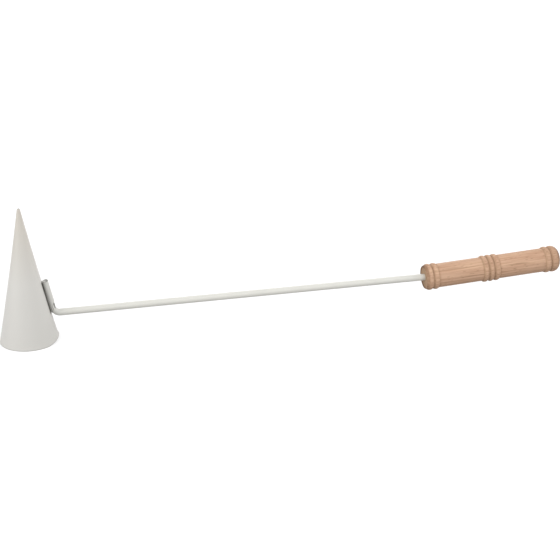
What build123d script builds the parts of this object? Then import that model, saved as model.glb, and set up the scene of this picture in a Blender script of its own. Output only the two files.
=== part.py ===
# Candle snuffer: a tall hollow cone on a long bent rod with a turned wooden handle.
# The origin is the centre of the cone's mouth. +Z runs up to the tip, and the rod leaves along +X.
# All lengths are in millimetres, all angles in degrees.
import os
from math import atan, cos, degrees, radians, sin, tan

from build123d import *

# Cone: spun from one disc of sheet, measured level across the wall, and closed solid at the tip
mouth_radius = 20.0
cone_height = 93.5
tip_radius = 1.0
wall_bow = 0.55
sheet = 0.8
solid_tip_length = 4.0
rim_rounding = 0.2

# Rod, with its flattened leg beside the cone
rod_diameter = 4.8
rod_height = 17.9
rod_rise = 1.08
leg_thickness = 4.0
leg_top_height = 41.5
leg_end_rounding = 0.5
bend_radius = 4.2
tang_chamfer = 0.5

# Spot welds between the leg and the wall, near the two ends of the leg
weld_gap = 0.15
weld_radius = 1.2
weld_inset = 3.0

# Handle: where it starts along the rod, how it sits on it, and its bore
reach = 279.7
handle_skew = 3.12
bore_offset = 0.35
bore_depth = 46.0
glue_gap = 0.12
glue_inset = 1.5
glue_pool = 1.0

# Handle: turned outline, as heights above the plain body and as lengths along the axis
body_diameter = 16.9
end_bead_height = 1.0
middle_bead_height = 1.15
groove_height = 0.35
front_face_drop = 0.45
first_bead_length = 4.8
second_bead_length = 5.5
front_body_length = 31.9
middle_bead_length = 4.4
middle_bead_count = 3
back_body_length = 33.8
tail_bead_length = 5.1
knob_length = 7.7
knob_rounding = 4.4

# Overrun of a cut past the face that it opens
overrun = 2.0

# The wall's side is a shallow arc, hollow outwards, that meets the small ball at the tip.
# It is so shallow that a parabola through the same ends gives its radius at any height.
ball_height = cone_height - tip_radius
tip_slope = (mouth_radius - tip_radius - 4 * wall_bow) / ball_height
tip_angle = atan(tip_slope)
side_height = ball_height + tip_radius * sin(tip_angle)
side_top_radius = tip_radius * cos(tip_angle)
mean_slope = (mouth_radius - side_top_radius) / side_height
rim_slope = 2 * mean_slope - tip_slope
wall_flare = (rim_slope - tip_slope) / (2 * side_height)


# Inward slope of the wall at a height
def wall_slope(height):
    return rim_slope - 2 * wall_flare * height


# Outer radius of the wall at a height
def wall_radius(height):
    return mouth_radius - rim_slope * height + wall_flare * height**2


# Side of the wall from the rim up to a height, moved inwards by a depth
def wall_curve(top, depth):
    rim, middle, end = [(wall_radius(height) - depth, height) for height in (0, top / 2, top)]
    return ThreePointArc(rim, middle, end)


# The rod's straight line, which leaves the cone's axis at rod_height and rises away from it
rod_direction = Vector(cos(radians(rod_rise)), 0, sin(radians(rod_rise)))


def rod_point(distance):
    return Vector(0, 0, rod_height) + rod_direction * distance


# The leg lies along the wall's slope at its own middle height and clears the hollow side by weld_gap.
leg_middle_height = (leg_top_height + rod_height) / 2
leg_half_height = (leg_top_height - rod_height) / 2
leg_lean = atan(wall_slope(leg_middle_height))
leg_down = Vector(sin(leg_lean), 0, -cos(leg_lean))
wall_normal = Vector(cos(leg_lean), 0, sin(leg_lean))
leg_stand_off = weld_gap + wall_flare * leg_half_height**2
leg_offset = leg_stand_off + leg_thickness / 2
leg_middle = Vector(wall_radius(leg_middle_height), 0, leg_middle_height) + wall_normal * leg_offset
leg_top = leg_middle - leg_down * (leg_half_height / cos(leg_lean))
leg_width = rod_diameter**2 / leg_thickness

# The leg's line and the rod's line meet at the bend's corner.
rise_slope = tan(radians(rod_rise))
corner_drop = leg_middle.Z - rod_height - leg_middle.X * rise_slope
corner_distance = corner_drop / (cos(leg_lean) + sin(leg_lean) * rise_slope)
bend_corner = leg_middle + leg_down * corner_distance
bend_turn = leg_down.get_angle(rod_direction)
bend_tangent = bend_radius * tan(radians(bend_turn) / 2)
bend_start = bend_corner - leg_down * bend_tangent
bend_end = bend_corner + rod_direction * bend_tangent
tang_end = rod_point(reach + bore_depth - glue_pool)

# The handle's axis starts at the centre of its front face, just below the rod's line.
handle_pitch = radians(rod_rise + handle_skew)
handle_axis = Vector(cos(handle_pitch), 0, sin(handle_pitch))
handle_up = Vector(-sin(handle_pitch), 0, cos(handle_pitch))
handle_front = rod_point(reach) - handle_up * bore_offset
bore_radius = rod_diameter / 2 + glue_gap

# Outer form of the cone without its hollow, its rim's outer edge broken round. It also trims the welds.
with BuildPart() as cone_outline:
    with BuildSketch(Plane.XZ) as half_outline:
        with BuildLine():
            side = wall_curve(side_height, 0)
            CenterArc((0, ball_height), tip_radius, degrees(tip_angle), 90 - degrees(tip_angle))
            Polyline((0, cone_height), (0, 0), side @ 0)
        make_face()
        fillet(half_outline.vertices().group_by(Axis.Y)[0].sort_by(Axis.X)[-1], radius=rim_rounding)
    revolve(axis=Axis.Z)

# Cone: the outer form with its hollow cut out
hollow_top = cone_height - solid_tip_length
with BuildPart() as snuffer_cone:
    add(cone_outline.part)
    with BuildSketch(Plane.XZ):
        with BuildLine():
            side = wall_curve(hollow_top, sheet)
            Polyline(side @ 1, (0, hollow_top), (0, 0), side @ 0)
        make_face()
    revolve(axis=Axis.Z, mode=Mode.SUBTRACT)
snuffer_cone.part.label = "snuffer_cone"

# Rod: a leg pressed flat at the cone, a tight bend, and a straight shank that ends inside the handle
leg_section = Plane(origin=bend_start, x_dir=(0, 1, 0), z_dir=leg_down)
shank_section = Plane(origin=bend_end, x_dir=(0, 1, 0), z_dir=rod_direction)
with BuildPart() as rod:
    with BuildSketch(leg_section):
        Ellipse(leg_width / 2, leg_thickness / 2)
    extrude(amount=-(bend_start - leg_top).length)
    fillet(rod.edges().sort_by(Axis.Z)[-1], radius=leg_end_rounding)
    with BuildLine():
        TangentArc(bend_start, bend_end, tangent=leg_down)
    with BuildSketch(leg_section):
        Ellipse(leg_width / 2, leg_thickness / 2)
    with BuildSketch(shank_section):
        Circle(rod_diameter / 2)
    sweep(multisection=True)
    with BuildSketch(shank_section):
        Circle(rod_diameter / 2)
    extrude(amount=(tang_end - bend_end).length)
    chamfer(rod.edges().sort_by(Axis.X)[-1], length=tang_chamfer)
rod.part.label = "rod"


# Spot weld: a small slug of fused metal that fills the gap between the leg and the wall
def spot_weld(centre, label):
    with BuildPart() as slug:
        with BuildSketch(Plane(origin=centre, x_dir=(0, 1, 0), z_dir=-wall_normal)):
            Circle(weld_radius)
        extrude(amount=leg_offset + sheet / 2)
        add(cone_outline.part, mode=Mode.SUBTRACT)
        add(rod.part, mode=Mode.SUBTRACT)
    slug.part.label = label
    return slug.part


upper_weld = spot_weld(leg_top + leg_down * weld_inset, "upper_weld")
lower_weld = spot_weld(bend_start - leg_down * weld_inset, "lower_weld")

# Handle: turned beech with two beads in front, three in the middle and a knob behind, bored for the rod
body_radius = body_diameter / 2
groove_radius = body_radius + groove_height
end_bead_radius = body_radius + end_bead_height
middle_bead_radius = body_radius + middle_bead_height
front_face_radius = body_radius - front_face_drop
back_face_radius = end_bead_radius - knob_rounding
front_groove = first_bead_length
front_body = front_groove + second_bead_length
middle_start = front_body + front_body_length
back_body = middle_start + middle_bead_count * middle_bead_length
tail_start = back_body + back_body_length
tail_groove = tail_start + tail_bead_length
handle_length = tail_groove + knob_length
knob_crown = handle_length - knob_rounding


# A bead from one point of the outline to another, through a crown midway between them
def bead(start, end, crown_radius):
    crown = ((start[0] + end[0]) / 2, crown_radius)
    return ThreePointArc(start, crown, end)


turning_plane = Plane(origin=handle_front, x_dir=handle_axis, z_dir=(0, -1, 0))
bore_mouth = Plane(origin=rod_point(reach - overrun), x_dir=(0, 1, 0), z_dir=rod_direction)
with BuildPart() as handle:
    with BuildSketch(turning_plane):
        with BuildLine():
            Line((0, 0), (0, front_face_radius))
            bead((0, front_face_radius), (front_groove, groove_radius), end_bead_radius)
            bead((front_groove, groove_radius), (front_body, body_radius), end_bead_radius)
            Line((front_body, body_radius), (middle_start, body_radius))
            foot = (middle_start, body_radius)
            for index in range(1, middle_bead_count + 1):
                foot_radius = body_radius if index == middle_bead_count else groove_radius
                next_foot = (middle_start + index * middle_bead_length, foot_radius)
                bead(foot, next_foot, middle_bead_radius)
                foot = next_foot
            Line((back_body, body_radius), (tail_start, body_radius))
            bead((tail_start, body_radius), (tail_groove, groove_radius), end_bead_radius)
            crown = (knob_crown, end_bead_radius)
            TangentArc(crown, (tail_groove, groove_radius), tangent=(-1, 0))
            TangentArc(crown, (handle_length, back_face_radius), tangent=(1, 0))
            Polyline((handle_length, back_face_radius), (handle_length, 0), (0, 0))
        make_face()
    revolve(axis=Axis(handle_front, handle_axis))
    with BuildSketch(bore_mouth):
        Circle(bore_radius)
    extrude(amount=overrun + bore_depth, mode=Mode.SUBTRACT)
handle.part.label = "handle"

# Glue: the film round the rod's tang and the small pool under its end
glue_start = Plane(origin=rod_point(reach + glue_inset), x_dir=(0, 1, 0), z_dir=rod_direction)
with BuildPart() as tang_glue:
    with BuildSketch(glue_start):
        Circle(bore_radius)
    extrude(amount=bore_depth - glue_inset)
    add(rod.part, mode=Mode.SUBTRACT)
tang_glue.part.label = "tang_glue"

pieces = [snuffer_cone.part, rod.part, upper_weld, lower_weld, handle.part, tang_glue.part]
os.makedirs("parts", exist_ok=True)
for piece in pieces:
    export_step(piece, f"parts/{piece.label}.step")
    print(f"{piece.label}: {len(piece.solids())} solid, {piece.volume:.1f} cubic mm")
print(f"wall leans {degrees(leg_lean):.2f} degrees at the leg, the rod turns {bend_turn:.2f} degrees")
print(f"handle {handle_length:.1f} mm long, from {handle_front} to {handle_front + handle_axis * handle_length}")
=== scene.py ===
# %% [markdown]
# # Candle snuffer
# A snuffer puts a candle out by taking the air from its flame: a tall hollow cone is set over the wick,
# at the end of a rod long enough to keep the hand away from the heat. This one is a cone spun from thin
# steel, a steel rod spot welded to its side, and a turned beech handle glued on the rod's far end.
#
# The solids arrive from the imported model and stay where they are. Lengths are written in millimetres and
# turned to metres by MM. The frame is the model's own: the origin is the centre of the cone's mouth, +Z
# runs up to the tip, and the rod leaves along +X.

# %% Load the frame
from math import atan, cos, degrees, exp, hypot, pi, radians, sin, tan, tau

import bpy
from mathutils import Matrix, Vector


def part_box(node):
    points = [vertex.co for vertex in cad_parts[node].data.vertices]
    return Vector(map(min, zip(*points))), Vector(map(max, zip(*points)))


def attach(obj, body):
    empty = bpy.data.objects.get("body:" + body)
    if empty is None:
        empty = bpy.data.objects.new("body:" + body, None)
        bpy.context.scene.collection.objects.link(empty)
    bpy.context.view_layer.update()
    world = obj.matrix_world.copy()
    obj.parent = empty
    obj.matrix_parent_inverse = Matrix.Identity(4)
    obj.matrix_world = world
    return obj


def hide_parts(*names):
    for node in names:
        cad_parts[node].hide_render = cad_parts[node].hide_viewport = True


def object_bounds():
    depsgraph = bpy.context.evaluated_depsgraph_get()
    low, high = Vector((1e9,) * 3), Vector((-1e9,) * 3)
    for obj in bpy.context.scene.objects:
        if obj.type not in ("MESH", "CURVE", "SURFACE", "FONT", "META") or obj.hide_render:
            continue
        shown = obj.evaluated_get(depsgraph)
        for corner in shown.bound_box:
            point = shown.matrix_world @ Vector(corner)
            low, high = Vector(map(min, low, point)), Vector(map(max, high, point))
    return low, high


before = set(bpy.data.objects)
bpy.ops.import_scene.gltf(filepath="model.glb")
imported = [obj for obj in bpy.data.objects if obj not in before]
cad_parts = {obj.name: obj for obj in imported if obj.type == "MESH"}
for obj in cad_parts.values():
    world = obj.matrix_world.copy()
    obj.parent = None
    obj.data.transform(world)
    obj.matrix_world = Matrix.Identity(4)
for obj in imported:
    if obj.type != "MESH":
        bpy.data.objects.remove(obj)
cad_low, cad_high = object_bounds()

MM = 0.001
for name in sorted(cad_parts):
    low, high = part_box(name)
    print(f"{name}: {[round(x / MM, 2) for x in low]} to {[round(x / MM, 2) for x in high]} mm")

# %% [markdown]
# ## The camera
# The photograph is a product shot with a long lens, taken from a little above and from slightly left of
# the middle of the rod. The position comes from fitting a pinhole camera to the outlines of the cone, the
# rod and the handle. Its focal length, in pixels of a frame 560 pixels wide, gives the lens.

# %% Place the camera
PICTURE_SIDE = 560
FOCAL_LENGTH = 1155.0
SENSOR = 36.0
camera_azimuth = radians(-11.676)
camera_elevation = radians(21.753)
camera_target = Vector((174.017, 0.0, 29.388))
camera_distance = 808.345
towards_camera = Vector((
    sin(camera_azimuth) * cos(camera_elevation),
    -cos(camera_azimuth) * cos(camera_elevation),
    sin(camera_elevation),
))
scene = bpy.context.scene
camera_data = bpy.data.cameras.new("camera")
camera_data.sensor_width = SENSOR
camera_data.lens = FOCAL_LENGTH / PICTURE_SIDE * SENSOR
camera = bpy.data.objects.new("camera", camera_data)
camera.location = (camera_target + towards_camera * camera_distance) * MM
camera.rotation_mode = "QUATERNION"
camera.rotation_quaternion = (-towards_camera).to_track_quat("-Z", "Y")
scene.collection.objects.link(camera)
scene.camera = camera
scene.view_settings.view_transform = "Standard"
print(f"lens {camera_data.lens:.2f} mm, camera at {[round(x, 3) for x in camera.location]} m")

# %% [markdown]
# ## Colours and nodes
# Colours are written as they would be picked from a picture, as sRGB hex. Shaders work in linear light,
# so one function turns them. A second one adds a node with its settings and links, so that a material
# reads as a list of what it is made of.


# %% Helpers for materials
def linear(code):
    """An sRGB hex colour in linear light, by the curve of the sRGB standard, with full alpha."""
    channels = [int(code[place:place + 2], 16) / 255 for place in (1, 3, 5)]
    return [c / 12.92 if c <= 0.04045 else ((c + 0.055) / 1.055) ** 2.4 for c in channels] + [1.0]


def add_node(tree, kind, settings=None, links=None):
    """A new node. settings are its own choices, links are numbers, colours or outputs for its inputs."""
    node = tree.nodes.new(kind)
    for key, value in (settings or {}).items():
        setattr(node, key, value)
    for key, value in (links or {}).items():
        if isinstance(value, bpy.types.NodeSocket):
            tree.links.new(value, node.inputs[key])
        else:
            node.inputs[key].default_value = value
    return node


def new_material(name):
    """A material with no nodes yet, and its node tree."""
    material = bpy.data.materials.new(name)
    material.use_nodes = True
    material.node_tree.nodes.clear()
    return material, material.node_tree


def coat(piece, material):
    """Makes a material the piece's only one."""
    piece.data.materials.clear()
    piece.data.materials.append(material)
    print(f"{piece.name}: {material.name}")


def set_stops(node, stops):
    """Gives a colour ramp its stops, from (place, hex colour) pairs in order."""
    elements = node.color_ramp.elements
    elements[0].position, elements[0].color = stops[0][0], linear(stops[0][1])
    elements[1].position, elements[1].color = stops[-1][0], linear(stops[-1][1])
    for place, code in stops[1:-1]:
        elements.new(place).color = linear(code)


# %% [markdown]
# ## Light and floor
# The photograph was taken in a light tent: soft light from all round on pure white, a little stronger
# from the left, and brighter on top than underneath. An even sky gives the base level, and four large
# lamps stand for the tent's lit walls. They stand well back, so the cone and the handle get the same. The
# sky and the floor look white to the camera and in reflections, and give less light than that to the
# snuffer, so its pale paint doesn't clip. The floor still takes the snuffer's shadow.


# %% Sky
def seen_straight(tree):
    """1 for rays that show a surface as it looks: from the camera, a reflection or a glass."""
    rays = add_node(tree, "ShaderNodeLightPath").outputs
    either = add_node(tree, "ShaderNodeMath", {"operation": "MAXIMUM"},
                      {0: rays["Is Camera Ray"], 1: rays["Is Glossy Ray"]})
    return add_node(tree, "ShaderNodeMath", {"operation": "MAXIMUM"},
                    {0: either.outputs[0], 1: rays["Is Transmission Ray"]}).outputs[0]


SKY_LEVEL = 0.445
world = bpy.data.worlds.new("studio")
world.use_nodes = True
scene.world = world
tree = world.node_tree
tree.nodes.clear()
level = add_node(tree, "ShaderNodeMapRange", links={"Value": seen_straight(tree), "To Min": SKY_LEVEL})
sky = add_node(tree, "ShaderNodeBackground",
               links={"Color": linear("#FFFFFF"), "Strength": level.outputs[0]})
add_node(tree, "ShaderNodeOutputWorld", links={"Surface": sky.outputs[0]})
print(f"sky level {SKY_LEVEL} on the snuffer, 1 to the camera")

# %% Lamps
LAMP_DISTANCE = 2.4
LAMP_SIDE = 1.6


def soft_wall(name, turn, elevation, power):
    """A lit wall of the tent, turned from the front towards the handle's end. Its power is in watts."""
    out = Vector((sin(radians(turn)) * cos(radians(elevation)),
                  -cos(radians(turn)) * cos(radians(elevation)), sin(radians(elevation))))
    data = bpy.data.lights.new(name, "AREA")
    data.size = LAMP_SIDE
    data.energy = power
    lamp = bpy.data.objects.new(name, data)
    lamp.location = camera_target * MM + out * LAMP_DISTANCE
    lamp.rotation_mode = "QUATERNION"
    lamp.rotation_quaternion = (-out).to_track_quat("-Z", "Y")
    scene.collection.objects.link(lamp)


# Each wall's direction and height, in degrees, and its power, in watts.
WALLS = {
    "left wall": (-70, 27, 26.5),
    "front wall": (10, 30, 21.5),
    "right wall": (92, 24, 21.0),
    "back wall": (170, 27, 17.0),
}
for name, (turn, elevation, power) in WALLS.items():
    soft_wall(name, turn, elevation, power)
print(f"{len(WALLS)} soft walls, {LAMP_SIDE} m across and {LAMP_DISTANCE} m away")

# %% Floor
# The sheet of paper ends within the light of the walls, so no far edge shows grey from any side.
FLOOR_SIDE = 4.0
PAPER_GLOW = 0.72
bpy.ops.object.select_all(action="DESELECT")
bpy.ops.mesh.primitive_plane_add(size=FLOOR_SIDE, location=(0, 0, cad_low.z))
floor = bpy.context.object
floor.name = "floor"
# White paper sweep: matt, so it has no highlight of its own.
material, tree = new_material("white background paper")
lift = add_node(tree, "ShaderNodeMath", {"operation": "MULTIPLY"}, {0: seen_straight(tree), 1: PAPER_GLOW})
paper = add_node(tree, "ShaderNodeBsdfDiffuse", links={"Color": linear("#A6A6A6")})
glow = add_node(tree, "ShaderNodeEmission", links={"Color": linear("#FFFFFF"), "Strength": lift.outputs[0]})
both = add_node(tree, "ShaderNodeAddShader", links={0: paper.outputs[0], 1: glow.outputs[0]})
add_node(tree, "ShaderNodeOutputMaterial", links={"Surface": both.outputs[0]})
coat(floor, material)
print(f"floor {FLOOR_SIDE} m across, under the mouth of the cone")

# %% [markdown]
# ## Tools for the modelling
# The cone and the handle come off a lathe, so they are made that way here too: one point is extruded
# along the outline of half the section, and the line is spun about the axis. The ends of the outline lie
# on the axis, so merging doubled points closes the poles. A third tool stores one number for each point
# of a finished mesh, such as how much paint reached it, and a material reads that number by name.


# %% Helpers for modelling
DOUBLE_DISTANCE = 0.002
SMOOTH_ANGLE = 30


def start_edit(piece):
    """Selects only this piece, puts its place into its mesh and opens it for editing."""
    bpy.ops.object.select_all(action="DESELECT")
    piece.select_set(True)
    bpy.context.view_layer.objects.active = piece
    bpy.ops.object.transform_apply(location=True, rotation=True, scale=True)
    bpy.ops.object.mode_set(mode="EDIT")
    bpy.ops.mesh.select_all(action="SELECT")


def finish_edit(piece, smooth_angle):
    """Merges doubles, turns all faces outwards and shades the piece smooth up to an angle in degrees."""
    bpy.ops.mesh.select_all(action="SELECT")
    bpy.ops.mesh.remove_doubles(threshold=DOUBLE_DISTANCE * MM)
    bpy.ops.mesh.normals_make_consistent(inside=False)
    bpy.ops.object.mode_set(mode="OBJECT")
    bpy.ops.object.shade_smooth_by_angle(angle=radians(smooth_angle))
    print(f"{piece.name}: {len(piece.data.polygons)} faces")


def turn_outline(name, points, centre, axis, steps):
    """A piece spun about an axis through a centre, from its outline as points in space, in mm."""
    bpy.ops.object.select_all(action="DESELECT")
    bpy.ops.mesh.primitive_plane_add(size=MM, location=points[0] * MM)
    piece = bpy.context.object
    piece.name = piece.data.name = name
    start_edit(piece)
    bpy.ops.mesh.merge(type="CENTER")
    for here, there in zip(points, points[1:]):
        bpy.ops.mesh.extrude_region_move(TRANSFORM_OT_translate={"value": (there - here) * MM})
    bpy.ops.mesh.select_all(action="SELECT")
    bpy.ops.mesh.spin(steps=steps, angle=tau, center=centre * MM, axis=axis)
    finish_edit(piece, SMOOTH_ANGLE)
    return piece


def store(piece, name, measure):
    """Stores a number for each point of the mesh, measured from its place in mm."""
    layer = piece.data.attributes.new(name, "FLOAT", "POINT")
    layer.data.foreach_set("value", [measure(point.co / MM) for point in piece.data.vertices])


def blend(value, low, high):
    """0 below low, 1 above high, and straight between."""
    return min(max((value - low) / (high - low), 0), 1)


def bell(distance, width):
    """1 on a mark's line, about a third at its width and almost nothing at twice its width."""
    return exp(-(distance / width) ** 2)


def arc_points(centre, radius, start, end, count):
    """Points of an arc as (radius, height) pairs, from one angle to another, in degrees."""
    angles = [radians(start + (end - start) * i / count) for i in range(count + 1)]
    return [(centre[0] + radius * cos(a), centre[1] + radius * sin(a)) for a in angles]


# %% [markdown]
# ## The cone
# The real cone starts as a disc of thin steel that is pressed against a turning form until it wraps it.
# Such a cone has no seam, its side is very slightly hollow, and its tip is closed by a small solid bead.
# It could be a primitive cone with a thickness modifier, but then the inner wall would fold through
# itself at the tip. Spinning one closed outline, inside and outside, gives the true wall and a solid tip.

# %% Cone: sizes
# The solids' mesh has facets, so the mouth and the tip stay a hair inside the true 20 and 93.5 mm.
MOUTH_RADIUS = 19.93
TIP_CLEARANCE = 0.01
TIP_RADIUS = 1.1
WALL_BOW = 0.42
SHEET = 0.8
SOLID_TIP_LENGTH = 4.0
RIM_ROUNDING = 0.2
cone_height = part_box("snuffer_cone")[1].z / MM - TIP_CLEARANCE
ball_height = cone_height - TIP_RADIUS
tip_slope = (MOUTH_RADIUS - TIP_RADIUS - 4 * WALL_BOW) / ball_height
tip_angle = atan(tip_slope)
side_height = ball_height + TIP_RADIUS * sin(tip_angle)
mean_slope = (MOUTH_RADIUS - TIP_RADIUS * cos(tip_angle)) / side_height
rim_slope = 2 * mean_slope - tip_slope
wall_flare = (rim_slope - tip_slope) / (2 * side_height)


def wall_radius(height):
    """Outer radius of the cone at a height. The wall is a very shallow arc, so a parabola does."""
    return MOUTH_RADIUS - rim_slope * height + wall_flare * height**2


print(f"cone {cone_height:.1f} mm tall, radius {wall_radius(cone_height / 2):.2f} mm halfway up")

# %% Cone: outline and spin
WALL_ROWS = 86
CONE_STEPS = 180
EDGE_HEIGHT = 0.7
FIRST_ROW = 4.0
RIM_POINTS = 4
TIP_POINTS = 6
hollow_top = cone_height - SOLID_TIP_LENGTH
inner_heights = [FIRST_ROW + (hollow_top - FIRST_ROW) * (1 - i / WALL_ROWS) for i in range(WALL_ROWS + 1)]
outer_heights = [FIRST_ROW + (side_height - FIRST_ROW) * i / WALL_ROWS for i in range(WALL_ROWS + 1)]
outline = [(0, hollow_top)]
outline += [(wall_radius(height) - SHEET, height) for height in (*inner_heights, EDGE_HEIGHT)]
inner_rim = (MOUTH_RADIUS - SHEET + RIM_ROUNDING, RIM_ROUNDING)
outer_rim = (MOUTH_RADIUS - RIM_ROUNDING, RIM_ROUNDING)
outline += arc_points(inner_rim, RIM_ROUNDING, 180, 270, RIM_POINTS)
outline += arc_points(outer_rim, RIM_ROUNDING, 270, 360, RIM_POINTS)
outline += [(wall_radius(height), height) for height in (EDGE_HEIGHT, *outer_heights)]
outline += arc_points((0, ball_height), TIP_RADIUS, degrees(tip_angle), 90, TIP_POINTS)[1:]
snuffer = turn_outline(
    "spun_cone", [Vector((radius, 0, height)) for radius, height in outline],
    Vector((0, 0, 0)), (0, 0, 1), CONE_STEPS)

# %% [markdown]
# The mouth of the real cone isn't quite level. Under the rod, where the wall was held for welding, its edge
# rises to a small point. The outer faces above the edge are hidden first, and the edge is then lifted by
# one point with proportional editing, so that the lift fades away to both sides as it does in thin sheet.


# %% Cone: the point in its mouth's edge
def select_points(piece, wanted):
    """Selects those points of the open piece whose place, in mm, is wanted, and says how many."""
    bpy.ops.mesh.select_all(action="DESELECT")
    bpy.ops.object.mode_set(mode="OBJECT")
    picks = [wanted(point.co / MM) for point in piece.data.vertices]
    piece.data.vertices.foreach_set("select", picks)
    bpy.ops.object.mode_set(mode="EDIT")
    bpy.ops.mesh.select_mode(type="VERT")
    return sum(picks)


EDGE_LIFT = 2.7
LIFT_SPREAD = 16.5
EDGE_BAND = 1.0
ON_PLANE = 0.1


def under_rod(point):
    """Whether a point, in mm, lies in the middle plane on the rod's side of the cone."""
    return point.x > 0 and abs(point.y) < ON_PLANE


start_edit(snuffer)
select_points(snuffer, lambda point: point.z > (EDGE_HEIGHT + FIRST_ROW) / 2)
bpy.ops.mesh.hide(unselected=False)
count = select_points(snuffer, lambda point: point.z < EDGE_BAND and under_rod(point))
bpy.ops.transform.translate(
    value=(0, 0, EDGE_LIFT * MM), use_proportional_edit=True, proportional_edit_falloff="LINEAR",
    proportional_size=LIFT_SPREAD * MM)
bpy.ops.mesh.reveal(select=False)
finish_edit(snuffer, SMOOTH_ANGLE)
heights = [point.co.z / MM for point in snuffer.data.vertices if under_rod(point.co / MM)]
print(f"lifted {count} points of the edge, which now starts at {min(heights):.2f} mm under the rod")
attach(snuffer, "root")
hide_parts("snuffer_cone")

# %% [markdown]
# ## The rod
# The rod is drawn wire. Its end was pressed a little flat where the welding tool held it against the
# cone, and the wire was then bent tightly just below, which pinched it on the inner side. It could be a
# curve with a bevel, but that has one section all along. Growing it ring by ring lets each ring be turned
# and flattened on its own, and the marks of the press are put in afterwards by moving a few points.

# %% Rod: sizes and path
ROD_DIAMETER = 4.8
ROD_HEIGHT = 17.9
ROD_RISE = 1.08
LEG_THICKNESS = 4.0
LEG_TOP_HEIGHT = 41.5
LEG_END_ROUNDING = 0.5
BEND_RADIUS = 4.2
TANG_CHAMFER = 0.5
WELD_GAP = 0.15
REACH = 279.7
BORE_DEPTH = 46.0
GLUE_POOL = 1.0
rod_direction = Vector((cos(radians(ROD_RISE)), 0, sin(radians(ROD_RISE))))
leg_middle_height = (LEG_TOP_HEIGHT + ROD_HEIGHT) / 2
leg_half_height = (LEG_TOP_HEIGHT - ROD_HEIGHT) / 2
leg_lean = atan(rim_slope - 2 * wall_flare * leg_middle_height)
leg_down = Vector((sin(leg_lean), 0, -cos(leg_lean)))
wall_normal = Vector((cos(leg_lean), 0, sin(leg_lean)))
leg_offset = WELD_GAP + wall_flare * leg_half_height**2 + LEG_THICKNESS / 2
leg_middle = Vector((wall_radius(leg_middle_height), 0, leg_middle_height)) + wall_normal * leg_offset
leg_top = leg_middle - leg_down * (leg_half_height / cos(leg_lean))
leg_width = ROD_DIAMETER**2 / LEG_THICKNESS
rise_slope = tan(radians(ROD_RISE))
corner_drop = leg_middle.z - ROD_HEIGHT - leg_middle.x * rise_slope
bend_corner = leg_middle + leg_down * (corner_drop / (cos(leg_lean) + sin(leg_lean) * rise_slope))
bend_turn = leg_down.angle(rod_direction)
bend_tangent = BEND_RADIUS * tan(bend_turn / 2)
bend_start = bend_corner - leg_down * bend_tangent
bend_end = bend_corner + rod_direction * bend_tangent
bend_centre = bend_start + wall_normal * BEND_RADIUS
tang_end = Vector((0, 0, ROD_HEIGHT)) + rod_direction * (REACH + BORE_DEPTH - GLUE_POOL)
print(f"leg {(bend_start - leg_top).length:.1f} mm, bend {degrees(bend_turn):.1f} degrees, "
      f"shank {(tang_end - bend_end).length:.1f} mm")

# %% Rod: grow it ring by ring
ROD_STEPS = 64
LEG_ROWS = 70
BEND_ROWS = 36
# The shank's first rings are close together, for the marks of the press. The rest of it is plain.
NEAR_ROWS = 12
NEAR_STEP = 1.0
FAR_ROWS = 16
bpy.ops.object.select_all(action="DESELECT")
bpy.ops.mesh.primitive_circle_add(
    vertices=ROD_STEPS, radius=LEG_THICKNESS / 2 * MM, fill_type="NGON", location=leg_top * MM,
    rotation=leg_down.to_track_quat("Z", "Y").to_euler())
wire = bpy.context.object
wire.name = wire.data.name = "bent_wire"
start_edit(wire)
bpy.ops.transform.resize(value=(1, leg_width / LEG_THICKNESS, 1), center_override=leg_top * MM)
for row in range(LEG_ROWS):
    bpy.ops.mesh.extrude_region_move(
        TRANSFORM_OT_translate={"value": (bend_start - leg_top) / LEG_ROWS * MM})
thicken = (ROD_DIAMETER / LEG_THICKNESS) ** (1 / BEND_ROWS)
narrow = (ROD_DIAMETER / leg_width) ** (1 / BEND_ROWS)
for row in range(1, BEND_ROWS + 1):
    bpy.ops.mesh.extrude_region_move()
    # With no window, transform.rotate turns the other way, so the turn about Y is given as positive.
    bpy.ops.transform.rotate(value=bend_turn / BEND_ROWS, orient_axis="Y", center_override=bend_centre * MM)
    spoke = Matrix.Rotation(-bend_turn * row / BEND_ROWS, 3, "Y") @ -wall_normal
    bpy.ops.transform.resize(
        value=(thicken, narrow, thicken), center_override=(bend_centre + spoke * BEND_RADIUS) * MM)
for row in range(NEAR_ROWS):
    bpy.ops.mesh.extrude_region_move(TRANSFORM_OT_translate={"value": rod_direction * NEAR_STEP * MM})
shank_rest = tang_end - bend_end - rod_direction * NEAR_ROWS * NEAR_STEP
for row in range(FAR_ROWS):
    bpy.ops.mesh.extrude_region_move(TRANSFORM_OT_translate={"value": shank_rest / FAR_ROWS * MM})
bpy.ops.mesh.edge_face_add()
print(f"grew {LEG_ROWS + BEND_ROWS + NEAR_ROWS + FAR_ROWS} rings of {ROD_STEPS} points")

# %% Rod: round the ends
ON_END = 0.01
ROUND_SEGMENTS = 4
CHAMFER_SEGMENTS = 1
for place, direction, size, segments in (
        (leg_top, leg_down, LEG_END_ROUNDING, ROUND_SEGMENTS),
        (tang_end, rod_direction, TANG_CHAMFER, CHAMFER_SEGMENTS)):
    count = select_points(wire, lambda point: abs((point - place).dot(direction)) < ON_END)
    bpy.ops.mesh.select_mode(type="EDGE")
    bpy.ops.mesh.bevel(offset=size * MM, segments=segments, affect="EDGES")
    print(f"rounded an end with {count} points by {size} mm")
bpy.ops.mesh.select_mode(type="VERT")

# %% [markdown]
# The jaws of the bending tool leave two slanting creases on each side of the bend, and dent the wire on its
# inner side where it folds. They could be a bump in the material, but moved points change the outline too.
# Each mark is made in a few passes, as with a hammer: the points within a width of the mark's line are moved
# in a little, and then again within a smaller width.


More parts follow.
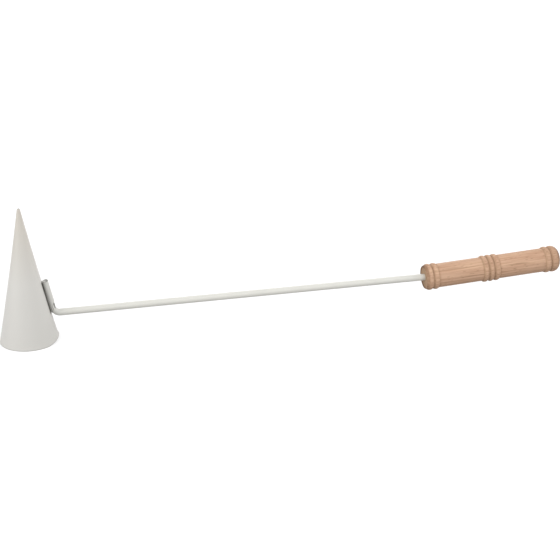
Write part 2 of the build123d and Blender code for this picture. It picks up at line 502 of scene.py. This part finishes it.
# %% Rod: marks of the press
def line_distance(point, start, end):
    """Distance of a point from a line across the wire, both seen along Y. The line ends are (x, z)."""
    run = Vector((end[0] - start[0], end[1] - start[1]))
    along = Vector((point.x - start[0], point.z - start[1]))
    share = min(max(along.dot(run) / run.length_squared, 0), 1)
    return (along - run * share).length


CREASES = (((17.6, 25.4), (15.6, 20.4)), ((18.2, 23.6), (16.4, 19.9)))
CREASE_PASSES = ((0.55, 0.965), (0.4, 0.955), (0.22, 0.955))
DENT = ((17.95, 25.6), (18.9, 22.3))
DENT_WIDTHS = (1.0, 0.75, 0.5)
DENT_STEP = 0.13
for start, end in CREASES:
    for width, pinch in CREASE_PASSES:
        count = select_points(wire, lambda point: line_distance(point, start, end) < width)
        bpy.ops.transform.resize(value=(1, pinch, 1), center_override=(0, 0, 0))
    print(f"pressed a crease with {count} points in its valley")
for width in DENT_WIDTHS:
    count = select_points(wire, lambda point: line_distance(point, *DENT) < width)
    bpy.ops.transform.translate(value=wall_normal * -DENT_STEP * MM)
print(f"dented the inner side with {count} points in the dent")
WIRE_SMOOTH_ANGLE = 40
finish_edit(wire, WIRE_SMOOTH_ANGLE)

# %% [markdown]
# Welding pressed the leg onto the cone, so its inner side takes the wall's shape and no light shows between
# them. A Boolean could cut the leg to fit, but it would leave a sharp edge. A Shrinkwrap modifier moves the
# points instead, and a vertex group limits it to those that are close to the wall.

# %% Rod: press the leg onto the wall
PRESS_REACH = 0.9
PRESS_FULL = 0.5
PRESS_CLEARANCE = 0.03


def wall_gap(point):
    """How far a point is outside the cone's wall, in mm."""
    return (hypot(point.x, point.y) - wall_radius(point.z)) * cos(leg_lean)


inner_side = wire.vertex_groups.new(name="inner side")
for point in wire.data.vertices:
    weight = 1 - blend(wall_gap(point.co / MM), PRESS_FULL, PRESS_REACH)
    inner_side.add([point.index], weight, "REPLACE")
press = wire.modifiers.new("press", "SHRINKWRAP")
press.target = snuffer
press.wrap_mode = "ABOVE_SURFACE"
press.offset = PRESS_CLEARANCE * MM
press.vertex_group = inner_side.name
bpy.ops.object.modifier_apply(modifier=press.name)
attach(wire, "root")
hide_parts("rod")
print(f"nearest to the wall: {min(wall_gap(point.co / MM) for point in wire.data.vertices):.3f} mm")

# %% [markdown]
# ## The handle
# The handle is turned between centres from a beech dowel: two beads in front, three in the middle, a
# bead and a knob behind, with grooves cut between them by the point of a skew chisel. Its bore is drilled
# at a slight slant, which is why the handle rises a little more steeply than the rod. Beads cut by hand
# vary a little, so each of the middle three has its own length. The outline is spun like the cone's, and
# the bore is cut with a Boolean modifier, because it isn't on the turning axis.

# %% Handle: sizes
HANDLE_SKEW = 3.12
BORE_OFFSET = 0.35
GLUE_GAP = 0.12
BODY_RADIUS = 8.6
END_BEAD_HEIGHT = 0.85
MIDDLE_BEAD_HEIGHT = 1.0
GROOVE_HEIGHT = 0.25
FRONT_FACE_DROP = 0.4
FIRST_BEAD = 5.35
SECOND_BEAD = 4.35
FRONT_BODY = 32.95
MIDDLE_BEADS = (4.3, 4.05, 4.5)
BACK_BODY = 34.35
TAIL_BEAD = 4.75
KNOB = 7.2
KNOB_ROUNDING = 4.8
handle_pitch = radians(ROD_RISE + HANDLE_SKEW)
handle_axis = Vector((cos(handle_pitch), 0, sin(handle_pitch)))
handle_up = Vector((-sin(handle_pitch), 0, cos(handle_pitch)))
handle_front = Vector((0, 0, ROD_HEIGHT)) + rod_direction * REACH - handle_up * BORE_OFFSET
groove_radius = BODY_RADIUS + GROOVE_HEIGHT
end_crown = BODY_RADIUS + END_BEAD_HEIGHT
middle_crown = BODY_RADIUS + MIDDLE_BEAD_HEIGHT
body_start = FIRST_BEAD + SECOND_BEAD
middle_start = body_start + FRONT_BODY
middle_end = middle_start + sum(MIDDLE_BEADS)
tail_start = middle_end + BACK_BODY
tail_groove = tail_start + TAIL_BEAD
handle_length = tail_groove + KNOB
middle_grooves = [middle_start + sum(MIDDLE_BEADS[:count]) for count in (1, 2)]
deep_grooves = [FIRST_BEAD, *middle_grooves, tail_groove]
fine_grooves = [body_start, middle_start, middle_end, tail_start]
print(f"handle {handle_length:.1f} mm long, rises {degrees(handle_pitch):.2f} degrees")

# %% Handle: outline
DEEP_WIDTH = 1.1
DEEP_CUT = 0.3
FINE_WIDTH = 0.5
FINE_CUT = 0.12
FACE_BEVEL = 1.5
FACE_BEVEL_RISE = 0.75
FACE_DISH = 0.35
DISH_FLOOR = 6.4
BEAD_POINTS = 16
BEAD_FULLNESS = 0.7
BODY_POINTS = 20
DISH_POINTS = 8
KNOB_POINTS = 8
ROUNDING_POINTS = 12


def bead(start, start_radius, end, end_radius, crown):
    """Points of a full bead, after its first foot. It is rounder than an arc and flatter than an ellipse."""
    steps = [-cos(pi * i / BEAD_POINTS) for i in range(1, BEAD_POINTS + 1)]
    feet = [start_radius if step < 0 else end_radius for step in steps]
    rises = [max(0, 1 - step**2) ** BEAD_FULLNESS for step in steps]
    return [((start + end) / 2 + (end - start) / 2 * step, foot + (crown - foot) * rise)
            for step, foot, rise in zip(steps, feet, rises)]


def cut(place, radius, width, depth):
    """Points of a groove: its bottom and its far edge."""
    return [(place, radius - depth), (place + width / 2, radius)]


def body(start, end):
    """Points of a plain run, close together near its ends, so that marks of the chisel stay there."""
    steps = [-cos(pi * i / BODY_POINTS) for i in range(1, BODY_POINTS + 1)]
    return [((start + end) / 2 + (end - start) / 2 * step, BODY_RADIUS) for step in steps]


face_radius = BODY_RADIUS - FRONT_FACE_DROP
shoulder = face_radius + FACE_BEVEL_RISE
deep_half = DEEP_WIDTH / 2
fine_half = FINE_WIDTH / 2
quarter = pi / 2
outline = [(FACE_DISH, 0), (FACE_DISH, DISH_FLOOR)]
outline += [(FACE_DISH * cos(quarter * i / DISH_POINTS),
             DISH_FLOOR + (face_radius - DISH_FLOOR) * sin(quarter * i / DISH_POINTS))
            for i in range(1, DISH_POINTS + 1)]
outline += [(FACE_BEVEL, shoulder)]
outline += bead(FACE_BEVEL, shoulder, FIRST_BEAD - deep_half, groove_radius, end_crown)
outline += cut(FIRST_BEAD, groove_radius, DEEP_WIDTH, DEEP_CUT)
outline += bead(FIRST_BEAD + deep_half, groove_radius, body_start - fine_half, BODY_RADIUS, end_crown)
outline += cut(body_start, BODY_RADIUS, FINE_WIDTH, FINE_CUT)
outline += body(body_start + fine_half, middle_start - fine_half)
outline += cut(middle_start, BODY_RADIUS, FINE_WIDTH, FINE_CUT)
foot, foot_radius = middle_start + fine_half, BODY_RADIUS
for groove in middle_grooves:
    outline += bead(foot, foot_radius, groove - deep_half, groove_radius, middle_crown)
    outline += cut(groove, groove_radius, DEEP_WIDTH, DEEP_CUT)
    foot, foot_radius = groove + deep_half, groove_radius
outline += bead(foot, foot_radius, middle_end - fine_half, BODY_RADIUS, middle_crown)
outline += cut(middle_end, BODY_RADIUS, FINE_WIDTH, FINE_CUT)
outline += body(middle_end + fine_half, tail_start - fine_half)
outline += cut(tail_start, BODY_RADIUS, FINE_WIDTH, FINE_CUT)
outline += bead(tail_start + fine_half, BODY_RADIUS, tail_groove - deep_half, groove_radius, end_crown)
outline += cut(tail_groove, groove_radius, DEEP_WIDTH, DEEP_CUT)
knob_start = tail_groove + deep_half
knob_crown = handle_length - KNOB_ROUNDING
outline += [(knob_crown - (knob_crown - knob_start) * cos(quarter * i / KNOB_POINTS),
             groove_radius + (end_crown - groove_radius) * sin(quarter * i / KNOB_POINTS))
            for i in range(1, KNOB_POINTS + 1)]
outline += [(knob_crown + KNOB_ROUNDING * sin(quarter * i / ROUNDING_POINTS),
             end_crown - KNOB_ROUNDING + KNOB_ROUNDING * cos(quarter * i / ROUNDING_POINTS))
            for i in range(1, ROUNDING_POINTS + 1)]
outline += [(handle_length, 0)]
print(f"{len(outline)} points, largest radius {max(radius for place, radius in outline):.2f} mm")

# %% Handle: spin and bore
HANDLE_STEPS = 128
DRILL_OVERRUN = 10.0
handle = turn_outline(
    "turned_handle", [handle_front + handle_axis * place + handle_up * radius for place, radius in outline],
    handle_front, handle_axis, HANDLE_STEPS)
drill_length = BORE_DEPTH + DRILL_OVERRUN
drill_middle = Vector((0, 0, ROD_HEIGHT)) + rod_direction * (REACH + BORE_DEPTH - drill_length / 2)
bpy.ops.object.select_all(action="DESELECT")
bpy.ops.mesh.primitive_cylinder_add(
    vertices=ROD_STEPS, radius=(ROD_DIAMETER / 2 + GLUE_GAP) * MM, depth=drill_length * MM,
    location=drill_middle * MM, rotation=rod_direction.to_track_quat("Z", "Y").to_euler())
drill = bpy.context.object
bpy.ops.object.select_all(action="DESELECT")
handle.select_set(True)
bpy.context.view_layer.objects.active = handle
bore = handle.modifiers.new("bore", "BOOLEAN")
bore.operation = "DIFFERENCE"
bore.object = drill
bpy.ops.object.modifier_apply(modifier=bore.name)
bpy.data.objects.remove(drill)
bpy.ops.object.shade_smooth_by_angle(angle=radians(SMOOTH_ANGLE))
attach(handle, "root")
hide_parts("handle")
print(f"{len(handle.data.polygons)} faces with the bore")

# %% [markdown]
# ## How much paint and painted shade there is
# The cone and the rod were sprayed after welding. Spray reaches open surfaces well and gets thinner deep in
# the hollow and on sharp edges, where the mouth's edge gets painted shade too. It hardly reaches the wedge
# between the leg and the wall, and painted shade darkens that wedge, the wall beside it and the leg's side
# further. The rod also gets painted shade in its creases, its dent and slanting stripes and on its cut end,
# and a painted highlight on the ridges. Shader nodes could work that out, but distances from the wall and
# from the marks of the press are easier to measure here. So each point of the two pieces stores how light
# it is, from 0 for bare and shaded to 1. Below, a pair of numbers says where a change begins and where it
# ends, in mm.

# %% Store the paint and painted shade on the cone
LEG_FADE = (20, 36)
HOLLOW_PAINT = 0.95
HOLLOW_LOSS = 0.6
HOLLOW_FADE = (5, 60)
# Distances from the middle plane up to which the wall beside the leg is fully dark with painted shade, and
# from which it is plain.
WEDGE_SHADE_FULL = 2.2
WEDGE_SHADE_END = 3.9
# Low on the leg, near the bend, both are larger by these, and the shadow ends at the leg's foot.
LOW_SHADE_FULL = 0.3
LOW_SHADE_END = 1.0
WEDGE_FOOT = (18.3, 19.3)
# The mouth's edge below this height is darker: thin paint, with painted shade under the rim.
EDGE_PAINT_AND_SHADE = 0.55
EDGE_PAINT_AND_SHADE_HEIGHT = 0.45


def low_on_leg(point):
    """1 at the foot of the leg, by the bend, fading to 0 further up."""
    return 1 - blend(point.z, *LEG_FADE)


def cone_paint_and_shade(point):
    """Paint on the cone: thin in the hollow, thin with painted shade on the mouth's edge, painted shade
    beside the leg.
    """
    radius = hypot(point.x, point.y)
    if radius <= wall_radius(point.z) - SHEET / 2:
        return HOLLOW_PAINT - HOLLOW_LOSS * blend(point.z, *HOLLOW_FADE)
    beside_leg = point.x > 0 and point.z < LEG_TOP_HEIGHT
    low = low_on_leg(point)
    shade_full, shade_end = WEDGE_SHADE_FULL + LOW_SHADE_FULL * low, WEDGE_SHADE_END + LOW_SHADE_END * low
    wedge = blend(abs(point.y), shade_full, shade_end) if beside_leg else 1
    wedge = max(wedge, 1 - blend(point.z, *WEDGE_FOOT))
    edge = EDGE_PAINT_AND_SHADE if radius > wall_radius(EDGE_PAINT_AND_SHADE_HEIGHT) else 1
    return wedge * edge


store(snuffer, "paint_and_shade", cone_paint_and_shade)

# %% Store the paint and painted shade on the rod
# The spray hardly gets into the gap at the wall. How far the painted shade on the leg's side reaches out from
# the wall, and how much wider the gap counts, everywhere and low on the leg.
SHADE_REACH = 0.5
GAP_EXTRA = 0.12
LOW_GAP_EXTRA = 1.2
# The rod is a little darker near the wall than along the shank: painted shade.
NEAR_WALL_SHADE_LEVEL = 0.93
NEAR_WALL = (2, 9)
# Painted shade in the creases, and a painted highlight on the ridges beside them.
CREASE_SHADE = 0.28
CREASE_WIDTH = 0.22
RIDGES = (((17.8, 24.6), (16.3, 21.0)), ((18.6, 22.9), (17.3, 20.8)))
RIDGE_HIGHLIGHT = 0.09
RIDGE_WIDTH = 0.3
# Painted shade in the dent, less and less across the wire.
DENT_SHADE = 0.8
DENT_SHADE_FADE = 0.5
DENT_SHADE_ACROSS = (-1.2, 0.4)
DENT_SHADE_WIDTH = 0.35
# Faint slanting stripes of painted shade on the part of the leg that is next to the wall.
STRIPE_PITCH = 1.3
STRIPE_SHARPNESS = 4
STRIPE_SLANT = 0.8
STRIPE_SHADE = 0.2
STRIPE_REACH = (1.0, 3.0)
LOWEST_STRIPE = 22
# The leg's cut end gets painted shade, and is darkest on a spot away from the wall.
END_SHADE_LEVEL = 0.78
END_SPOT = (1.0, 1.8)
END_SPOT_DARKENING = 0.5
END_SPOT_WIDTH = 0.4
end_spot_line = [((leg_top + wall_normal * out).x, (leg_top + wall_normal * out).z) for out in END_SPOT]


def rod_paint_and_shade(point):
    """Paint on the rod, painted shade by the wall, in creases, dent, stripes and on the end, painted
    highlight on ridges.
    """
    gap = max(wall_gap(point), 0)
    coat_and_shade = 1 - exp(-(gap + GAP_EXTRA + LOW_GAP_EXTRA * low_on_leg(point)) / SHADE_REACH)
    coat_and_shade *= NEAR_WALL_SHADE_LEVEL + (1 - NEAR_WALL_SHADE_LEVEL) * blend(gap, *NEAR_WALL)
    for start, end in CREASES:
        coat_and_shade *= 1 - CREASE_SHADE * bell(line_distance(point, start, end), CREASE_WIDTH)
    for start, end in RIDGES:
        coat_and_shade += RIDGE_HIGHLIGHT * bell(line_distance(point, start, end), RIDGE_WIDTH)
    dent_shade = DENT_SHADE - DENT_SHADE_FADE * blend(point.y, *DENT_SHADE_ACROSS)
    coat_and_shade *= 1 - dent_shade * bell(line_distance(point, *DENT), DENT_SHADE_WIDTH)
    along = (point - leg_top).dot(leg_down)
    stripe = cos(pi * (along + STRIPE_SLANT * gap) / STRIPE_PITCH) ** STRIPE_SHARPNESS
    stripe *= 1 - blend(gap, *STRIPE_REACH)
    coat_and_shade *= 1 - STRIPE_SHADE * stripe * (point.z > LOWEST_STRIPE)
    if abs(along) < LEG_END_ROUNDING / 2:
        coat_and_shade = END_SHADE_LEVEL * (1 - END_SPOT_DARKENING * bell(line_distance(point, *end_spot_line), END_SPOT_WIDTH))
    return coat_and_shade


store(wire, "paint_and_shade", rod_paint_and_shade)
print("stored the paint of", len(snuffer.data.vertices) + len(wire.data.vertices), "points")

# %% [markdown]
# ## Satin enamel
# Both steel pieces have an off-white spray enamel, a warm white with a soft sheen. Close up it has the
# faint waviness called orange peel. It could be one flat colour, but real enamel shows where it is thin:
# greyer over the dark steel, and a little yellower where a form is baked hotter, as at the cone's tip. The
# same colours, from dark grey up to white, also give the painted shade and highlights stored with the paint.
# The fine powder in a satin enamel spreads its reflection, so it is rough and half as reflective as clear
# gloss, and the cone's sides don't go white where they turn away from the eye.


# %% Enamel
def enamel(name, wave, stops, tint=None):
    """Spray enamel over steel with waves of orange peel, in metres. stops colour it from bare steel and
    painted shade to full paint, and a tint, where it has one, multiplies that from the height of the mouth up
    to the tip."""
    material, tree = new_material(name)
    place = add_node(tree, "ShaderNodeTexCoord").outputs["Object"]
    paint_and_shade = add_node(tree, "ShaderNodeAttribute", {"attribute_name": "paint_and_shade"}).outputs["Fac"]
    # Patches where the coat is a little thicker or thinner, about 12 mm across.
    patches = add_node(tree, "ShaderNodeTexNoise", links={"Vector": place, "Scale": 1 / 0.012, "Detail": 3.0})
    spread = add_node(tree, "ShaderNodeMapRange",
                      links={"Value": patches.outputs["Fac"], "To Min": -0.03, "To Max": 0.03})
    coat_and_shade = add_node(tree, "ShaderNodeMath", {"operation": "ADD"}, {0: paint_and_shade, 1: spread.outputs[0]})
    layer = add_node(tree, "ShaderNodeValToRGB", links={"Fac": coat_and_shade.outputs[0]})
    set_stops(layer, stops)
    colour = layer.outputs["Color"]
    if tint:
        height = add_node(tree, "ShaderNodeSeparateXYZ", links={"Vector": place}).outputs["Z"]
        warmth = add_node(tree, "ShaderNodeMapRange",
                          links={"Value": height, "From Min": 0.0, "From Max": 0.095})
        tinted = add_node(tree, "ShaderNodeValToRGB", links={"Fac": warmth.outputs[0]})
        set_stops(tinted, tint)
        colour = add_node(tree, "ShaderNodeMix", {"data_type": "RGBA", "blend_type": "MULTIPLY"},
                          {"Factor": 1.0, "A": colour, "B": tinted.outputs["Color"]}).outputs["Result"]
    # Orange peel has waves of 1 to 2 mm and is only some hundredths of a millimetre high.
    peel = add_node(tree, "ShaderNodeTexNoise", links={"Vector": place, "Scale": 1 / wave, "Detail": 2.0})
    bump = add_node(tree, "ShaderNodeBump",
                    links={"Height": peel.outputs["Fac"], "Distance": 0.00004, "Strength": 0.6})
    sheen = add_node(tree, "ShaderNodeMapRange", links={"Value": paint_and_shade, "To Min": 0.62, "To Max": 0.4})
    shader = add_node(tree, "ShaderNodeBsdfPrincipled", links={
        "Base Color": colour, "Roughness": sheen.outputs[0], "Specular IOR Level": 0.25,
        "Normal": bump.outputs[0]})
    add_node(tree, "ShaderNodeOutputMaterial", links={"Surface": shader.outputs[0]})
    return material


# The darkest stops of both enamels stand for bare steel and painted shade.
coat(snuffer, enamel(
    "satin enamel on spun steel", 0.0015,
    ((0.0, "#57554F"), (0.35, "#8F8D87"), (0.7, "#C6C4BE"), (0.95, "#D9D7D2")),
    ((0.0, "#FBFBFB"), (0.45, "#FFFFFF"), (1.0, "#F8F3EC"))))
coat(wire, enamel(
    "satin enamel on drawn wire", 0.0012,
    ((0.0, "#4A4945"), (0.3, "#66645F"), (0.6, "#9C9B96"), (0.8, "#C2C1BC"), (0.93, "#D2D1CC"),
     (1.0, "#E1E0D9"))))

# %% [markdown]
# ## Turned raw beech
# Beech is pale pinkish brown and even. What makes it beech are its flecks: short dark dashes along the
# grain, where the rays of the tree are cut, over straight fine fibre lines and soft growth bands. It is
# sanded and left raw, so it is nearly matt, with only a quarter of a varnished surface's reflection. Where
# the chisel cut steeply across the grain, in the grooves, on the rims of the front face and round the
# knob's end, the open end grain drinks light and friction has browned it, so it looks darker, and painted
# shade is added there too: more on the top side, on the far side of the front face, over the whole knob and
# on the top of the tail. The grain runs along the handle's own axis, so a Mapping node lays the pattern's X
# along it.

# %% Store the burn and painted shade at the chisel cuts on the handle
# Nothing is darkened in the bore or this close round it.
BORE_RING = 1.0
# Heights above the axis between which the underside turns into the top side, which gets the painted shade at
# the cuts more strongly.
TOP_SIDE = (0.5, 5.5)
# Deep grooves and fine ones: how dark their browning and painted shade, and how wide along the axis. The deep
# ones get less painted shade on the underside.
DEEP_SHADE = 0.5
DEEP_MARK = 0.46
UNDERSIDE_LOSS = 0.35
FINE_SHADE = 0.13
FINE_MARK = 0.4
# The lip between the front face and its bevel: a dark cut line with painted shade, which makes it darkest on
# the handle's far side.
LIP_MARK = 1.25
NEAR_LIP = 0.35
LIP_FADE = (-5, 1)
# Painted shade on the bevel with the first bead's front flank, and on the ring between the two. The underside
# gets a share.
FLANK_SHADE = 0.17
FLANK_FADE = (1.2, 3.2)
BEVEL_SHADE = 0.3
BEVEL_MARK = 0.45
UNDER_FLANK = 0.6
# The ring round the knob's end, browned end grain with painted shade, by places counted back from the end and
# by radius. Its middle gets a share.
KNOB_SHADE = 0.65
KNOB_EDGE = (-3.0, -1.2)
KNOB_MIDDLE = 0.2
KNOB_RING = (5.0, 6.8)
# The whole knob and the top side of the tail are a little darker, as in the photograph: painted shade.
TAIL_SHADE = 0.1
TAIL_TOP_SHADE = 0.11
TAIL_FADE = 1.0


def cut_burn_and_shade(point):
    """How much darker than plain wood a point is, from 0 to 1, where the chisel cut across the grain: browned
    end grain and painted shade.
    """
    offset = point - handle_front
    along = offset.dot(handle_axis)
    radius = (offset - handle_axis * along).length
    if radius < ROD_DIAMETER / 2 + BORE_RING:
        return 0.0
    top_side = blend(offset.dot(handle_up), *TOP_SIDE)
    deep = DEEP_SHADE * max(bell(along - groove, DEEP_MARK) for groove in deep_grooves)
    deep *= 1 - UNDERSIDE_LOSS * (1 - top_side) * (1 - blend(along, middle_end, tail_start))
    fine = FINE_SHADE * max(bell(along - groove, FINE_MARK) for groove in fine_grooves)
    lip = bell(radius - face_radius, LIP_MARK) if along < FACE_DISH else 0
    lip *= NEAR_LIP + (1 - NEAR_LIP) * blend(point.y, *LIP_FADE)
    flank = FLANK_SHADE * (1 - blend(along, *FLANK_FADE))
    flank += BEVEL_SHADE * bell(along - FACE_BEVEL, BEVEL_MARK)
    flank *= UNDER_FLANK + (1 - UNDER_FLANK) * top_side
    knob = KNOB_SHADE * blend(along - handle_length, *KNOB_EDGE)
    knob *= KNOB_MIDDLE + (1 - KNOB_MIDDLE) * blend(radius, *KNOB_RING)
    tail = TAIL_SHADE * blend(along, tail_groove, tail_groove + TAIL_FADE)
    tail += TAIL_TOP_SHADE * top_side * blend(along, tail_start - TAIL_FADE, tail_start + TAIL_FADE)
    return max(deep, fine, lip, flank, tail + knob)


store(handle, "cut_burn_and_shade", cut_burn_and_shade)
print("stored the chisel's marks of", len(handle.data.vertices), "points")

# %% Beech
material, tree = new_material("turned raw beech")
place = add_node(tree, "ShaderNodeTexCoord").outputs["Object"]
grain = add_node(tree, "ShaderNodeMapping", {"vector_type": "TEXTURE"}, {
    "Vector": place, "Location": handle_front * MM, "Rotation": (0, -handle_pitch, 0)}).outputs[0]
# Growth bands 2 to 3 mm apart, from a pith 45 mm away, wandering by a millimetre along the handle.
BAND_WIDTH = 0.0022
slow = add_node(tree, "ShaderNodeMapping", links={"Vector": grain, "Scale": (0.12, 1, 1)}).outputs[0]
wander = add_node(tree, "ShaderNodeTexNoise", links={"Vector": slow, "Scale": 1 / 0.012, "Detail": 2.0})
across = add_node(tree, "ShaderNodeMapping", {"vector_type": "TEXTURE"}, {
    "Vector": grain, "Location": (0, 0.028, -0.036), "Rotation": (0, 0.012, 0.02)}).outputs[0]
flat = add_node(tree, "ShaderNodeVectorMath", {"operation": "MULTIPLY"}, {0: across, 1: (0, 1, 1)})
ring = add_node(tree, "ShaderNodeVectorMath", {"operation": "LENGTH"}, {0: flat.outputs[0]})
count = add_node(tree, "ShaderNodeMath", {"operation": "MULTIPLY_ADD"},
                 {0: ring.outputs["Value"], 1: 1 / BAND_WIDTH, 2: wander.outputs["Fac"]})
band = add_node(tree, "ShaderNodeMath", {"operation": "PINGPONG"}, {0: count.outputs[0], 1: 0.5})
tone = add_node(tree, "ShaderNodeValToRGB", links={"Fac": band.outputs[0]})
set_stops(tone, ((0.0, "#CDA78C"), (0.2, "#D6B196"), (0.5, "#DBB79A")))
# Fibre lines. Real vessels are under 0.1 mm wide, too fine to show, so these are about 0.5 mm.
fibre_place = add_node(tree, "ShaderNodeMapping", links={"Vector": grain, "Scale": (0.03, 1, 1)}).outputs[0]
fibres = add_node(tree, "ShaderNodeTexNoise",
                  links={"Vector": fibre_place, "Scale": 1 / 0.0007, "Detail": 3.0, "Roughness": 0.6})
streaks = add_node(tree, "ShaderNodeValToRGB", links={"Fac": fibres.outputs["Fac"]})
set_stops(streaks, ((0.3, "#E4DAD3"), (0.5, "#F8F5F3"), (0.65, "#FFFFFF")))
wood = add_node(tree, "ShaderNodeMix", {"data_type": "RGBA", "blend_type": "MULTIPLY"},
                {"Factor": 1.0, "A": tone.outputs["Color"], "B": streaks.outputs["Color"]})
# A few long darker threads, 1 mm wide and some centimetres long.
thread_place = add_node(tree, "ShaderNodeMapping", links={"Vector": grain, "Scale": (0.05, 1, 1)}).outputs[0]
threads = add_node(tree, "ShaderNodeTexNoise",
                   links={"Vector": thread_place, "Scale": 1 / 0.002, "Detail": 1.0})
long_marks = add_node(tree, "ShaderNodeMapRange",
                      links={"Value": threads.outputs["Fac"], "From Min": 0.6, "From Max": 0.72,
                             "To Max": 0.6})
wood = add_node(tree, "ShaderNodeMix", {"data_type": "RGBA"}, {
    "Factor": long_marks.outputs[0], "A": wood.outputs["Result"], "B": linear("#9F7A60")})
# Ray flecks, 2 to 3 mm long and 0.4 mm wide.
fleck_place = add_node(tree, "ShaderNodeMapping", links={"Vector": grain, "Scale": (0.2, 1, 1)}).outputs[0]
cells = add_node(tree, "ShaderNodeTexVoronoi", links={"Vector": fleck_place, "Scale": 1 / 0.0012})
flecks = add_node(tree, "ShaderNodeMapRange",
                  links={"Value": cells.outputs["Distance"], "From Min": 0.12, "From Max": 0.26,
                         "To Min": 0.55, "To Max": 0.0})
wood = add_node(tree, "ShaderNodeMix", {"data_type": "RGBA"}, {
    "Factor": flecks.outputs[0], "A": wood.outputs["Result"], "B": linear("#9D795F")})
# End grain faces along the axis: the front face, the flanks of beads and grooves, the knob's end.
END_GRAIN_GAIN = 1.4
normal = add_node(tree, "ShaderNodeNewGeometry").outputs["Normal"]
facing = add_node(tree, "ShaderNodeVectorMath", {"operation": "DOT_PRODUCT"}, {0: normal, 1: handle_axis})
steep = add_node(tree, "ShaderNodeMath", {"operation": "MULTIPLY"},
                 {0: facing.outputs["Value"], 1: facing.outputs["Value"]})
end_grain = add_node(tree, "ShaderNodeMath", {"operation": "MULTIPLY", "use_clamp": True},
                     {0: steep.outputs[0], 1: END_GRAIN_GAIN})
wood = add_node(tree, "ShaderNodeMix", {"data_type": "RGBA"}, {
    "Factor": end_grain.outputs[0], "A": wood.outputs["Result"], "B": linear("#B99A7D")})
# The dark brown of browned end grain at the cuts, with the painted shade there.
burn_and_shade = add_node(tree, "ShaderNodeAttribute", {"attribute_name": "cut_burn_and_shade"}).outputs["Fac"]
wood = add_node(tree, "ShaderNodeMix", {"data_type": "RGBA"}, {
    "Factor": burn_and_shade, "A": wood.outputs["Result"], "B": linear("#6E4B33")})
bump = add_node(tree, "ShaderNodeBump",
                links={"Height": fibres.outputs["Fac"], "Distance": 0.00005, "Strength": 0.5})
dull = add_node(tree, "ShaderNodeMapRange",
                links={"Value": fibres.outputs["Fac"], "To Min": 0.72, "To Max": 0.55})
shader = add_node(tree, "ShaderNodeBsdfPrincipled", links={
    "Base Color": wood.outputs["Result"], "Roughness": dull.outputs[0], "Specular IOR Level": 0.12,
    "Normal": bump.outputs[0]})
add_node(tree, "ShaderNodeOutputMaterial", links={"Surface": shader.outputs[0]})
coat(handle, material)

# %% [markdown]
# ## Welds and glue
# The two spot welds and the glue round the rod's tang keep their solids, because they are simple and
# almost hidden. They still get a finish, since a library model can be taken apart.

# %% Weld metal
# Steel melted by the welding current: dull grey, rippled, with a straw-brown heat stain.
material, tree = new_material("fused mild steel")
place = add_node(tree, "ShaderNodeTexCoord").outputs["Object"]
ripple = add_node(tree, "ShaderNodeTexNoise", links={"Vector": place, "Scale": 1 / 0.0008, "Detail": 3.0})
stain = add_node(tree, "ShaderNodeValToRGB", links={"Fac": ripple.outputs["Fac"]})
set_stops(stain, ((0.3, "#4E4A46"), (0.5, "#77716A"), (0.7, "#8B7A63")))
bump = add_node(tree, "ShaderNodeBump",
                links={"Height": ripple.outputs["Fac"], "Distance": 0.0001, "Strength": 0.8})
shader = add_node(tree, "ShaderNodeBsdfPrincipled", links={
    "Base Color": stain.outputs["Color"], "Metallic": 1.0, "Roughness": 0.5, "Normal": bump.outputs[0]})
add_node(tree, "ShaderNodeOutputMaterial", links={"Surface": shader.outputs[0]})
for name in ("upper_weld", "lower_weld"):
    coat(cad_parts[name], material)

# %% Glue
# Two-part epoxy, which holds steel as well as wood. Cured, it is yellowish, slightly glossy and cloudy.
material, tree = new_material("cured epoxy glue")
place = add_node(tree, "ShaderNodeTexCoord").outputs["Object"]
cloud = add_node(tree, "ShaderNodeTexNoise", links={"Vector": place, "Scale": 1 / 0.003, "Detail": 2.0})
tone = add_node(tree, "ShaderNodeValToRGB", links={"Fac": cloud.outputs["Fac"]})
set_stops(tone, ((0.35, "#B9A878"), (0.65, "#D6C9A0")))
bump = add_node(tree, "ShaderNodeBump",
                links={"Height": cloud.outputs["Fac"], "Distance": 0.0001, "Strength": 0.5})
shader = add_node(tree, "ShaderNodeBsdfPrincipled", links={
    "Base Color": tone.outputs["Color"], "Roughness": 0.35, "Normal": bump.outputs[0]})
add_node(tree, "ShaderNodeOutputMaterial", links={"Surface": shader.outputs[0]})
coat(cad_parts["tang_glue"], material)

# %% [markdown]
# ## The solids' box
# The box of the solids is written down. The dressed snuffer has to stay inside the box of the
# solids.

# %% Write the sizes and finish
print("box of the solids", [round(x / MM, 2) for x in (*cad_low, *cad_high)], "mm")
